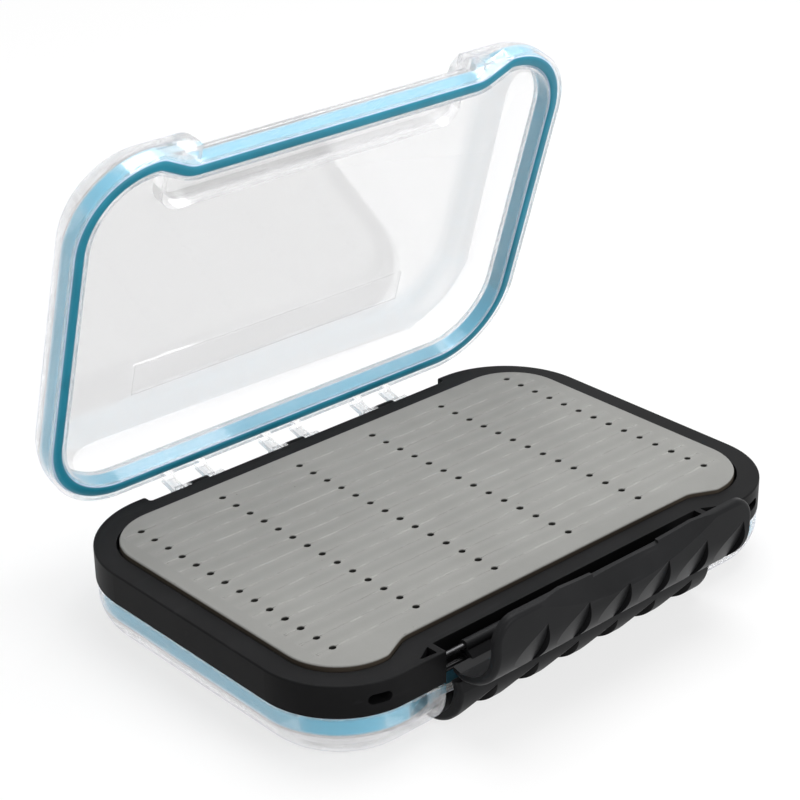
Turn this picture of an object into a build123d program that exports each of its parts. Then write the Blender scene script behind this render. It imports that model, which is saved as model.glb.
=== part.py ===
from build123d import *
import math
import os

# A double-sided slit-foam lure box that stands on its lower lid.
# X runs along the box, Y from the latches to the hinge, Z up, in millimetres.
# The origin is on the plane that the box stands on, under the middle of the foam.
# Every piece is shaped about the middle plane of the box, and lifted at the end.

# Least straight run that is left between two rounds
least_straight = 0.02

# Frame
frame_half_length = 92.5
frame_front = 62.5
frame_back = 60.5
frame_height = 10.0
front_corner_radius = 26.0
back_corner_radius = 30.0
frame_edge_round = 0.5
web_thickness = 2.0
hinge_bay_half = 59.5
hinge_bay_depth = 2.9
hinge_bay_round = 0.8
recess_half = 52.3
recess_depth = 5.3

# Lanyard slots and lug pockets in the frame
lanyard_x = 74.2
lanyard_width = 6.6
lanyard_height = 3.0
lanyard_depth = 5.0
lug_pocket_depth = 3.2
lug_pocket_length = 5.8
lug_pocket_width = 3.9
lug_pocket_taper = 0.6
lug_pocket_round = 0.3
lug_wall = 1.2
lug_recess_wall = 2.1

# Foam pads
pad_side_margin = 7.7
pad_half_length = frame_half_length - pad_side_margin
pad_back = 50.2
pad_front_middle = 50.7
pad_front_ear = 54.7
pad_ear_start = 65.5
pad_middle_half = 57.0
pad_corner_radius = 18.0
pad_step_radius = 8.0
pad_ear_radius = 3.0
pad_proud = 1.4
pad_pocket_gap = 0.5
adhesive_thickness = 0.3
adhesive_inset = 1.5

# Slits and holes in the foam
hole_columns = 6
hole_rows = 14
hole_column_pitch = 29.6
hole_row_pitch = 6.5
hole_diameter = 2.0
hole_depth = 3.6
slit_width = 0.3
slit_depth = 2.8
slit_end_margin = 5.5

# Lids
lid_height = 15.4
lid_side_round = 12.5
lid_wall = 1.8
lid_inset = 0.15
lid_back = 58.3
lid_back_radius = 28.0
seal_gap = 0.6
lip_pocket_half = 54.5
lip_pocket_back = 37.0
lip_pocket_depth = 4.6
lip_relief_reach = 10.0
lip_pocket_radius = 6.0
lip_edge_round = 4.0
lip_edge_bow = 0.54
least_edge = 0.5
lid_lug_length = 5.0
lid_lug_width = 2.1
lid_lug_round = 0.2
panel_strip_half = 53.0
panel_strip_near = 24.0
panel_strip_far = 35.0
panel_strip_depth = 0.35

# Seal groove and gasket
groove_outer_wall = 1.1
groove_inner_wall = 0.8
groove_depth = 5.0
groove_floor = 1.2
gasket_width = 4.0
gasket_side_gap = 0.1
gasket_height = 5.4
gasket_crown = 1.7
seal_ear_start = 64.3
seal_middle_half = 54.0
seal_step_radius = 8.0

# Hinge
hinge_back = 62.2
hinge_station_pitch = 38.0
hinge_knuckle_radius = 2.5
hinge_pin_radius = 0.9
hinge_bore_clearance = 0.05
frame_knuckle_half = 3.3
frame_arm_half_height = 2.3
frame_arm_bite = 1.0
tab_outer_end = 9.2
tab_outer_start = 6.2
tab_inner_end = 6.0
tab_inner_start = 3.5
tab_rise = 7.6
tab_root_rise = 11.0
tab_root_bite = 0.7
tab_front = 2.5
tab_front_rise = 1.0
tab_rim_overlap = 0.4
tab_round = 1.0

# Latches
latch_pivot_front = 60.4
latch_pivot_rise = 2.0
latch_pin_radius = 1.0
latch_pin_bite = 1.6
latch_bore_clearance = 0.06
latch_barrel_radius = 1.75
latch_barrel_half = 44.0
latch_half = 50.5
latch_shell = 2.6
latch_front = 5.6
latch_foot_front = 4.5
latch_foot_rise = 2.8
latch_foot_top = 5.6
latch_foot_round = 1.5
latch_crest_rise = 19.4
latch_crest_round = 14.0
latch_tip_y = 18.0
latch_web = 1.6
latch_end_round = 7.0
latch_end_edge = 1.4

# Thumb scoop and notch in the lip of a latch, and the hook under it
scoop_start = 9.0
scoop_fall = 21.5
scoop_radius = 211.0
lip_thickness = 1.2
finger_recess_depth = 1.8
finger_recess_radius = 190.0
notch_half = 13.0
notch_depth = 0.4
notch_round = 0.3
hook_half = 30.0
hook_set_back = 2.8
hook_thickness = 1.8
hook_seat_clearance = 0.4
hook_bite = 0.1

# Scales on the latches
scale_count = 6
scale_pitch = 15.8
upper_scale_offset = 8.4
lower_scale_offset = 4.1
scale_depth = 1.5
scale_run = 11.0
scale_floor_radius = 46.0
upper_scale_lean = 22.1
lower_scale_lean = 45.0
scale_wall_radius = 24.0

# Rest pose of the moving pieces
upper_lid_open = 73.0
upper_latch_open = 90.0

half_frame = frame_height / 2
rim_level = half_frame + seal_gap
middle_height = rim_level + lid_height
recess_wall = frame_front - recess_depth
hinge_bay_back = frame_back - hinge_bay_depth
lid_front = frame_front - lid_inset
lid_half_length = frame_half_length - lid_inset
seal_band = groove_outer_wall + gasket_width + 2 * gasket_side_gap + groove_inner_wall
stations = [-hinge_station_pitch, 0.0, hinge_station_pitch]


def corner_reach(before, corner, after):
    """Length that a round of radius 1 takes from each side of a corner."""
    ax, ay = before[0] - corner[0], before[1] - corner[1]
    bx, by = after[0] - corner[0], after[1] - corner[1]
    angle = math.atan2(abs(ax * by - ay * bx), ax * bx + ay * by)
    return 1 / math.tan(angle / 2)


def fitted_radii(points, radii):
    """Corner radii, each kept to what the sides beside it can hold."""
    count = len(points)
    fitted = list(radii)
    for i in range(count):
        j = (i + 1) % count
        here = corner_reach(points[i - 1], points[i], points[j])
        there = corner_reach(points[i], points[j], points[(j + 1) % count])
        room = math.dist(points[i], points[j]) - least_straight
        need = fitted[i] * here + fitted[j] * there
        if need > room:
            fitted[i] *= room / need
            fitted[j] *= room / need
    return fitted


def rounded_face(points, radii):
    """Closed face through the points, each corner with its own radius."""
    line = FilletPolyline(*points, radius=fitted_radii(points, radii), close=True)
    return make_face(line)


def moved_corner(before, corner, after, inset):
    """A corner of a counter-clockwise outline after its sides move inwards."""
    ax, ay = corner[0] - before[0], corner[1] - before[1]
    bx, by = after[0] - corner[0], after[1] - corner[1]
    a = math.hypot(ax, ay)
    b = math.hypot(bx, by)
    nx = -ay / a - by / b
    ny = ax / a + bx / b
    scale = 2 * inset / (nx * nx + ny * ny)
    return (corner[0] + scale * nx, corner[1] + scale * ny)


def inset_face(points, radii, inset):
    """The counter-clockwise outline with every side moved inwards by one amount."""
    moved = []
    rounds = []
    count = len(points)
    for i in range(count):
        before = points[i - 1]
        corner = points[i]
        after = points[(i + 1) % count]
        moved.append(moved_corner(before, corner, after, inset))
        turn = (corner[0] - before[0]) * (after[1] - corner[1])
        turn -= (corner[1] - before[1]) * (after[0] - corner[0])
        rounds.append(radii[i] - math.copysign(inset, turn))
    return rounded_face(moved, rounds)


def box_between(x0, x1, y0, y1, z0, z1):
    """Box between two corners."""
    block = Box(x1 - x0, y1 - y0, z1 - z0)
    return Pos((x0 + x1) / 2, (y0 + y1) / 2, (z0 + z1) / 2) * block


def prism_yz(face_points, radii, x0, x1):
    """Prism along X whose section is given as (y, z) points."""
    section = Plane.YZ * rounded_face(face_points, radii)
    return Pos(x0, 0, 0) * extrude(section, x1 - x0)


def edges_at_height(solid, z):
    """Edges that lie in the level plane at z."""
    return [
        e
        for e in solid.edges()
        if abs(e.center().Z - z) < 0.001 and abs((e @ 0).Z - z) < 0.001
    ]


def flipped(shape):
    """The same moulding turned over about the Y axis."""
    return Rot(0, 180, 0) * shape


# Frame

def frame_outline():
    """Outer edge of the frame with its shallow hinge bay at the back."""
    points = [
        (-frame_half_length, -frame_front),
        (frame_half_length, -frame_front),
        (frame_half_length, frame_back),
        (hinge_bay_half, frame_back),
        (hinge_bay_half, hinge_bay_back),
        (-hinge_bay_half, hinge_bay_back),
        (-hinge_bay_half, frame_back),
        (-frame_half_length, frame_back),
    ]
    front = front_corner_radius
    back = back_corner_radius
    radii = [front, front, back] + [hinge_bay_round] * 4 + [back]
    return rounded_face(points, radii)


def pad_outline(grow=0.0):
    """Edge of the foam: straight back, front drawn in behind the latches."""
    points = [
        (-pad_half_length, pad_back),
        (-pad_half_length, -pad_front_ear),
        (-pad_ear_start, -pad_front_ear),
        (-pad_middle_half, -pad_front_middle),
        (pad_middle_half, -pad_front_middle),
        (pad_ear_start, -pad_front_ear),
        (pad_half_length, -pad_front_ear),
        (pad_half_length, pad_back),
    ]
    corner = pad_corner_radius
    step = pad_step_radius
    ear = pad_ear_radius
    radii = [corner, corner, ear, step, step, ear, corner, corner]
    return inset_face(points, radii, -grow)


def frame_lug_pockets():
    """Triangular pockets beside the recess, in both faces of the frame."""
    near = recess_half + lug_recess_wall
    front = -frame_front + lug_wall
    points = [
        (near, front),
        (near + lug_pocket_length, front + lug_pocket_taper),
        (near, front + lug_pocket_width),
    ]
    face = rounded_face(points, [lug_pocket_round] * 3)
    pocket = extrude(face, lug_pocket_depth + 1)
    pocket = Pos(0, 0, half_frame - lug_pocket_depth) * pocket
    pocket = Part() + [pocket, mirror(pocket, about=Plane.YZ)]
    return Part() + [pocket, mirror(pocket, about=Plane.XY)]


def lanyard_slots():
    """Blind slots for a lanyard in both front corners."""
    slot = SlotOverall(lanyard_width, lanyard_height)
    centre_y = -(frame_front - front_corner_radius)
    past = lanyard_x - (frame_half_length - front_corner_radius)
    wall = centre_y - math.sqrt(front_corner_radius**2 - past**2)
    cut = extrude(Plane.XZ * slot, lanyard_depth, both=True)
    cut = Pos(lanyard_x, wall, 0) * cut
    return Part() + [cut, mirror(cut, about=Plane.YZ)]


def hinge_bores(length_half, x=0.0):
    """Bore for a hinge pin about the hinge axis."""
    radius = hinge_pin_radius + hinge_bore_clearance
    bore = Rot(0, 90, 0) * Cylinder(radius, 2 * length_half)
    return Pos(x, hinge_back, 0) * bore


def frame_knuckle(x):
    """One knuckle of the frame with the arm that carries it."""
    width = 2 * frame_knuckle_half
    knuckle = Pos(x, hinge_back, 0) * Rot(0, 90, 0) * Cylinder(hinge_knuckle_radius, width)
    arm = box_between(
        x - frame_knuckle_half,
        x + frame_knuckle_half,
        hinge_bay_back - frame_arm_bite,
        hinge_back,
        -frame_arm_half_height,
        frame_arm_half_height,
    )
    return knuckle + arm - hinge_bores(frame_knuckle_half + 1, x)


def latch_pin_bores():
    """Blind bores in the lugs for the two latch pins."""
    bores = Part()
    for rise in [latch_pivot_rise, -latch_pivot_rise]:
        bore = Rot(0, 90, 0) * Cylinder(
            latch_pin_radius, 2 * (recess_half + latch_pin_bite)
        )
        bores += Pos(0, -latch_pivot_front, rise) * bore
    return bores


def build_frame():
    """Frame with its web, foam pockets, recess, slots and hinge knuckles."""
    frame = extrude(frame_outline(), half_frame, both=True)
    rims = edges_at_height(frame, half_frame) + edges_at_height(frame, -half_frame)
    frame = fillet(rims, frame_edge_round)
    pocket = extrude(pad_outline(pad_pocket_gap), half_frame)
    pocket = Pos(0, 0, web_thickness / 2) * pocket
    frame -= pocket
    frame -= mirror(pocket, about=Plane.XY)
    frame -= box_between(
        -recess_half,
        recess_half,
        -frame_front - 1,
        -recess_wall,
        -half_frame - 1,
        half_frame + 1,
    )
    frame -= frame_lug_pockets()
    frame -= lanyard_slots()
    frame -= latch_pin_bores()
    for x in stations:
        frame += frame_knuckle(x)
    return frame


# Foam

def foam_cuts():
    """Holes and slits, cut down from the face of the pad."""
    cuts = Part()
    span = (hole_columns - 1) * hole_column_pitch
    rows = GridLocations(hole_column_pitch, hole_row_pitch, hole_columns, hole_rows)
    cuts += [loc * Cylinder(hole_diameter / 2, 2 * hole_depth) for loc in rows]
    slit_half = span / 2 + slit_end_margin
    for row in GridLocations(1, hole_row_pitch, 1, hole_rows):
        cuts += row * Box(2 * slit_half, slit_width, 2 * slit_depth)
    return cuts


def build_pad():
    """Upper foam pad on its adhesive."""
    bottom = web_thickness / 2 + adhesive_thickness
    top = half_frame + pad_proud
    pad = Pos(0, 0, bottom) * extrude(pad_outline(), top - bottom)
    return pad - Pos(0, 0, top) * foam_cuts()


def build_adhesive():
    """Adhesive sheet between the web and the upper pad."""
    sheet = extrude(pad_outline(-adhesive_inset), adhesive_thickness)
    return Pos(0, 0, web_thickness / 2) * sheet


# Lids

def lid_rectangle(inset=0.0):
    """Outer edge of a lid without the latch recess."""
    points = [
        (-lid_half_length, -lid_front),
        (lid_half_length, -lid_front),
        (lid_half_length, lid_back),
        (-lid_half_length, lid_back),
    ]
    front = front_corner_radius
    back = lid_back_radius
    return inset_face(points, [front, front, back, back], inset)


def seal_outline(inset=0.0):
    """Path of the seal: it swings back behind the latch recess."""
    points = [
        (-lid_half_length, lid_back),
        (-lid_half_length, -lid_front),
        (-seal_ear_start, -lid_front),
        (-seal_middle_half, -recess_wall),
        (seal_middle_half, -recess_wall),
        (seal_ear_start, -lid_front),
        (lid_half_length, -lid_front),
        (lid_half_length, lid_back),
    ]
    front = front_corner_radius
    back = lid_back_radius
    step = seal_step_radius
    radii = [back, front, step, step, step, step, front, back]
    return inset_face(points, radii, inset)


def lip_relief(grow=0.0):
    """Space that a lid leaves for its latch: recess, rounded edge and lip pocket."""
    top = rim_level + lid_height
    floor = top - lip_pocket_depth - grow
    wall = -recess_wall + grow
    edge = max(lip_edge_round - grow, least_edge)
    half = recess_half + grow
    far = frame_front + lip_relief_reach
    under = [
        (-far, -1),
        (wall, -1),
        (wall, floor - edge),
        (wall + edge, floor),
        (wall + edge, top + 1),
        (-far, top + 1),
    ]
    bow = lip_edge_bow * edge
    relief = prism_yz(under, [0, 0, bow, bow, 0, 0], -half, half)
    length = far - lip_pocket_back + grow
    pocket = RectangleRounded(2 * (lip_pocket_half + grow), length, lip_pocket_radius)
    pocket = extrude(Pos(0, -lip_pocket_back + grow - length / 2) * pocket, top)
    return relief + Pos(0, 0, floor) * pocket


def lid_block(inset, height, edge_round):
    """Dished block: straight rim wall and a large round up to the flat face."""
    block = Pos(0, 0, rim_level) * extrude(lid_rectangle(inset), height)
    return fillet(edges_at_height(block, rim_level + height), edge_round)


def lid_tab(x0, x1):
    """One hinge tab of a lid with its knuckle ring."""
    width = x1 - x0
    ring = Rot(0, 90, 0) * Cylinder(hinge_knuckle_radius, width)
    ring = Pos((x0 + x1) / 2, hinge_back, 0) * ring
    root = lid_back - tab_root_bite
    section = [
        (hinge_back - tab_front, 0),
        (hinge_back, 0),
        (hinge_back, tab_rise),
        (root, rim_level + tab_root_rise - half_frame),
        (root, rim_level),
        (lid_back + tab_rim_overlap, rim_level),
        (hinge_back - tab_front, rim_level - tab_front_rise),
    ]
    plate = prism_yz(section, [0, 0, tab_round, 0, 0, 0, 0], x0, x1)
    return ring + plate


def lid_tabs():
    """Three pairs of tabs that pass those of the other lid."""
    tabs = Part()
    for x in stations:
        tabs += lid_tab(x - tab_outer_end, x - tab_outer_start)
        tabs += lid_tab(x + tab_inner_start, x + tab_inner_end)
    for x in stations:
        tabs -= hinge_bores(tab_outer_end + 1, x)
    return tabs


def lid_lug_pockets():
    """Open pockets in the lugs of the lid rim."""
    near = recess_half + lug_wall
    front = -lid_front + lug_wall
    points = [(near, front), (near + lid_lug_length, front), (near, front + lid_lug_width)]
    face = rounded_face(points, [lid_lug_round] * 3)
    pocket = Pos(0, 0, rim_level) * extrude(face, groove_depth)
    return Part() + [pocket, mirror(pocket, about=Plane.YZ)]


def panel_strip():
    """Shallow strip across the back of the lid face."""
    top = rim_level + lid_height
    strip = box_between(
        -panel_strip_half,
        panel_strip_half,
        panel_strip_near,
        panel_strip_far,
        top - panel_strip_depth,
        top + 1,
    )
    return strip


def build_lid():
    """Upper lid in its closed place."""
    outer = lid_block(0.0, lid_height, lid_side_round) - lip_relief()
    inner = lid_block(lid_wall, lid_height - lid_wall, lid_side_round - lid_wall)
    inner -= lip_relief(lid_wall)
    channel_height = groove_depth + groove_floor
    channel = extrude(lid_rectangle() - seal_outline(seal_band), channel_height)
    channel = (Pos(0, 0, rim_level) * channel) & outer
    groove_out = seal_outline(groove_outer_wall)
    groove_in = seal_outline(seal_band - groove_inner_wall)
    groove = Pos(0, 0, rim_level) * extrude(groove_out - groove_in, groove_depth)
    lid = outer - inner + channel - groove
    lid -= lid_lug_pockets()
    lid -= panel_strip()
    return lid + lid_tabs()


def build_gasket():
    """Silicone ring in the groove of the upper lid, with a rounded crown."""
    outside = groove_outer_wall + gasket_side_gap
    ring = seal_outline(outside) - seal_outline(outside + gasket_width)
    foot = rim_level + groove_depth
    ring = Pos(0, 0, foot - gasket_height) * extrude(ring, gasket_height)
    return fillet(edges_at_height(ring, foot - gasket_height), gasket_crown)


# Latches, about their own pin, closed on the upper lid

def latch_block():
    """Filled body of a latch: straight front, round shoulder, flat crest."""
    section = [
        (-latch_foot_front, latch_foot_rise),
        (-latch_front, latch_foot_top),
        (-latch_front, latch_crest_rise),
        (latch_tip_y, latch_crest_rise),
        (latch_tip_y, latch_foot_rise),
    ]
    radii = [0, latch_foot_round, latch_crest_round, 0, 0]
    block = prism_yz(section, radii, -latch_half, latch_half)
    tips = [e for e in block.edges().filter_by(Axis.Z) if e.center().Y > latch_front]
    block = fillet(tips, latch_end_round)
    ends = [
        e
        for e in block.edges()
        if abs(abs(e.center().X) - latch_half) < 0.001
        and e.center().Z > latch_foot_rise + 0.001
        and not (e.center().Y > 0 and abs((e % 0.5).Z) > 0.999)
    ]
    return fillet(ends, latch_end_edge)


def scale_dish(x_step, lean):
    """Cut of one scale: a lying round that sinks along +X to a wall at x_step."""
    centre_y = latch_crest_round - latch_front
    centre_z = latch_crest_rise - latch_crest_round
    depth = latch_crest_round - scale_depth - scale_floor_radius
    tilt = math.degrees(math.atan(scale_depth / scale_run))
    length = 2 * scale_pitch
    floor = Rot(0, 90, 0) * Cylinder(scale_floor_radius, 2 * length)
    floor = Pos(0, 0, depth) * floor
    floor = floor.rotate(Axis((0, 0, depth + scale_floor_radius), (0, 1, 0)), tilt)
    wall = Pos(-scale_wall_radius, 0) * Cylinder(scale_wall_radius, 2 * length)
    space = Pos(x_step, centre_y, centre_z) * Rot(lean, 0, 0) * (wall - floor)
    reach = latch_crest_rise + latch_crest_round
    bounds = box_between(x_step - length, x_step, -reach, reach, 0, reach)
    return space & bounds


def latch_cavity():
    """Hollow side of a latch, towards the box."""
    shell = latch_shell
    front = -latch_front + shell
    ceiling = latch_crest_rise - shell
    section = [
        (-latch_foot_front + shell, latch_foot_rise - 1),
        (front, latch_foot_top),
        (front, ceiling),
        (latch_tip_y + 1, ceiling),
        (latch_tip_y + 1, latch_foot_rise - 1),
    ]
    radii = [0, 0, latch_crest_round - shell, 0, 0]
    return prism_yz(section, radii, -latch_half - 1, latch_half + 1)


def thumb_scoop():
    """Shallow hollow that leaves the lip its smooth lens-shaped face."""
    scoop = Rot(90, 0, 0) * Cylinder(scoop_radius, 4 * latch_tip_y)
    scoop = Pos(0, 0, scoop_radius) * scoop
    return Pos(0, scoop_start, latch_crest_rise) * Rot(-scoop_fall, 0, 0) * scoop


def lip_lining():
    """Material under the scoop, where it would break through the shell."""
    ceiling = latch_crest_rise - latch_shell
    space = box_between(
        -latch_half, latch_half, scoop_start, latch_tip_y, latch_foot_rise, ceiling + hook_bite
    )
    return space & (Pos(0, 0, -lip_thickness) * thumb_scoop())


def finger_notch():
    """Wide shallow recess in the lip edge, with a small notch in its middle."""
    edge = latch_tip_y - finger_recess_depth
    recess = Pos(0, edge + finger_recess_radius) * Circle(finger_recess_radius)
    notch = RectangleRounded(2 * notch_half, 4 * notch_depth, notch_round)
    recess += Pos(0, edge + notch_depth) * notch
    return extrude(recess, 2 * latch_crest_rise)


def latch_hook():
    """Rib under the lip that sits in the lid's pocket."""
    floor = rim_level + lid_height - lip_pocket_depth - latch_pivot_rise
    near = latch_tip_y - hook_set_back - hook_thickness
    ceiling = latch_crest_rise - latch_shell
    return box_between(
        -hook_half,
        hook_half,
        near,
        near + hook_thickness,
        floor + hook_seat_clearance,
        ceiling + hook_bite,
    )


def latch_barrel():
    """Barrel round the pin and the web that joins it to the shell."""
    barrel = Rot(0, 90, 0) * Cylinder(latch_barrel_radius, 2 * latch_barrel_half)
    reach = math.hypot(latch_front, latch_foot_top) - latch_shell / 2
    web = box_between(
        -latch_barrel_half, latch_barrel_half, -reach, 0, -latch_web / 2, latch_web / 2
    )
    lean = math.degrees(math.atan2(latch_foot_top, latch_front))
    web = Rot(-lean, 0, 0) * web
    radius = latch_pin_radius + latch_bore_clearance
    bore = Rot(0, 90, 0) * Cylinder(radius, 2 * latch_barrel_half + 2)
    return barrel + web - bore


def build_latch(lean, offset):
    """Latch closed on the upper lid, about its pin; its scales lie at a lean and offset."""
    body = latch_block()
    first = -(scale_count - 1) / 2
    for i in range(scale_count):
        body -= scale_dish((first + i) * scale_pitch + offset, lean)
    body -= latch_cavity()
    body += lip_lining()
    body += latch_hook()
    body -= thumb_scoop()
    body -= finger_notch()
    return body + latch_barrel()


def build_latch_pin():
    """Steel rod of a latch, about its own axis."""
    return Rot(0, 90, 0) * Cylinder(latch_pin_radius, 2 * (recess_half + latch_pin_bite))


def build_hinge_pin(x):
    """Steel pin of one hinge station."""
    pin = Rot(0, 90, 0) * Cylinder(hinge_pin_radius, 2 * tab_outer_end)
    return Pos(x, hinge_back, 0) * pin


def opened_lid(shape):
    """Upper lid pieces swung open about the hinge axis."""
    hinge = Axis((0, hinge_back, 0), (-1, 0, 0))
    return shape.rotate(hinge, upper_lid_open)


def build_all():
    """Every piece in the rest pose, about the middle plane."""
    lid = build_lid()
    gasket = build_gasket()
    pad = build_pad()
    sheet = build_adhesive()
    latch = build_latch(upper_scale_lean, upper_scale_offset)
    second_latch = build_latch(lower_scale_lean, lower_scale_offset)
    pin = build_latch_pin()
    upper_pivot = Pos(0, -latch_pivot_front, latch_pivot_rise)
    open_latch = latch.rotate(Axis.X, upper_latch_open)
    shut_latch = mirror(upper_pivot * second_latch, about=Plane.XY)
    return {
        "centre_frame": build_frame(),
        "upper_foam_pad": pad,
        "lower_foam_pad": flipped(pad),
        "upper_foam_adhesive": sheet,
        "lower_foam_adhesive": flipped(sheet),
        "upper_lid": opened_lid(lid),
        "upper_gasket": opened_lid(gasket),
        "lower_lid": flipped(lid),
        "lower_gasket": flipped(gasket),
        "upper_latch": upper_pivot * open_latch,
        "lower_latch": shut_latch,
        "upper_latch_pin": upper_pivot * pin,
        "lower_latch_pin": Pos(0, -latch_pivot_front, -latch_pivot_rise) * pin,
        "hinge_pin_left": build_hinge_pin(stations[0]),
        "hinge_pin_centre": build_hinge_pin(stations[1]),
        "hinge_pin_right": build_hinge_pin(stations[2]),
    }


os.makedirs("parts", exist_ok=True)
for name, piece in build_all().items():
    export_step(Pos(0, 0, middle_height) * piece, "parts/" + name + ".step")
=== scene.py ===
import logging
import math
from dataclasses import dataclass, field
from enum import Enum
from typing import Any, Iterable, Sequence, Union

import bmesh
import bpy
from mathutils import Matrix, Vector, noise


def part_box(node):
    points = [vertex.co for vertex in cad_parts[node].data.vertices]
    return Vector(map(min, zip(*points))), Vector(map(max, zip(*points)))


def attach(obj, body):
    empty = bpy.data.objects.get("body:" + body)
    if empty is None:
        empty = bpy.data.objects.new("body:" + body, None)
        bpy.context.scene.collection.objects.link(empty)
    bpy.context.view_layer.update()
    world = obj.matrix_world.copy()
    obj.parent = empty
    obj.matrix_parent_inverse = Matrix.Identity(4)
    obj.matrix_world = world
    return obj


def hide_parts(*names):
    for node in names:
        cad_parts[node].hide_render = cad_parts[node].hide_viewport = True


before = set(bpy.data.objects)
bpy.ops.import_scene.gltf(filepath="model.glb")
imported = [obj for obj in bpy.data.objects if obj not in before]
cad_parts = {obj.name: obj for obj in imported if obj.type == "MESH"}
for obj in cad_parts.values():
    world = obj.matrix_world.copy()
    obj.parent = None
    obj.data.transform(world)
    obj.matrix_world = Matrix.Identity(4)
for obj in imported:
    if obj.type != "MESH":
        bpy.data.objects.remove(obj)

log = logging.getLogger("lure_box")

Point2 = tuple[float, float]
Point3 = tuple[float, float, float]
Span = tuple[float, float]
Rgb = tuple[float, float, float]
Rgba = tuple[float, float, float, float]

# Metres in a millimetre
MM = 0.001
# Height of the frame's middle plane
MIDDLE = 21.0 * MM
# Distance of the hinge axis behind the box's middle
HINGE_BACK = 62.2 * MM
# How far the upper lid stands open
LID_OPEN = math.radians(73.0)
# Distance between the slits of the foam, and half their length
ROW_PITCH = 6.5 * MM
SLIT_HALF = 79.5 * MM
# Turn in degrees between points of a rounded corner, and the fewest parts of one
ARC_TURN = 6
ARC_FEWEST = 3
# Values of a noise between which it turns from one shade to the other
SWING: Span = (0.3, 0.7)
# Rays that see the floor and the surround as plain white
WHITE_RAYS = ("Is Camera Ray", "Is Glossy Ray", "Is Transmission Ray")
WHITE: Rgb = (1.0, 1.0, 1.0)


class Side(Enum):
    """The two faces of the box, as its pieces are named after them."""

    UPPER = "upper"
    LOWER = "lower"


# Shader maths


class Field:
    """A shader socket that takes part in Python expressions."""

    def __init__(self, book: "Book", socket: bpy.types.NodeSocket) -> None:
        """Wraps a socket of the book's tree."""
        self.book = book
        self.socket = socket

    def math(self, operation: str, *others: Any) -> "Field":
        """Runs a Math node on this field.

        Args:
            operation: the Math node's operation.
            others: the node's further inputs, fields or numbers.

        Returns:
            The node's result.
        """
        values = {0: self, **{i + 1: v for i, v in enumerate(others)}}
        return self.book.field("ShaderNodeMath", {"operation": operation}, values)

    def _swapped(self, operation: str, other: Any) -> "Field":
        """The same with the other value first."""
        return self.book.field("ShaderNodeMath", {"operation": operation}, {0: other, 1: self})

    def __add__(self, other: Any) -> "Field":
        """Sum."""
        return self.math("ADD", other)

    __radd__ = __add__

    def __sub__(self, other: Any) -> "Field":
        """Difference."""
        return self.math("SUBTRACT", other)

    def __rsub__(self, other: Any) -> "Field":
        """Difference from a number."""
        return self._swapped("SUBTRACT", other)

    def __mul__(self, other: Any) -> "Field":
        """Product."""
        return self.math("MULTIPLY", other)

    __rmul__ = __mul__

    def __truediv__(self, other: Any) -> "Field":
        """Quotient."""
        return self.math("DIVIDE", other)

    def __rtruediv__(self, other: Any) -> "Field":
        """Quotient of a number and this field."""
        return self._swapped("DIVIDE", other)

    def __abs__(self) -> "Field":
        """Size without sign."""
        return self.math("ABSOLUTE")

    def fract(self) -> "Field":
        """Part after the point."""
        return self.math("FRACT")

    def ramp(self, low: float, high: float) -> "Field":
        """Smooth step.

        Args:
            low: where the step is 0.
            high: where it is 1; it may be below low.

        Returns:
            A mask from 0 to 1.
        """
        flip = high < low
        settings = {"interpolation_type": "SMOOTHSTEP", "clamp": True}
        ends = {1: min(low, high), 2: max(low, high), 3: float(flip), 4: float(not flip)}
        return self.book.field("ShaderNodeMapRange", settings, {0: self, **ends})


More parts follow.
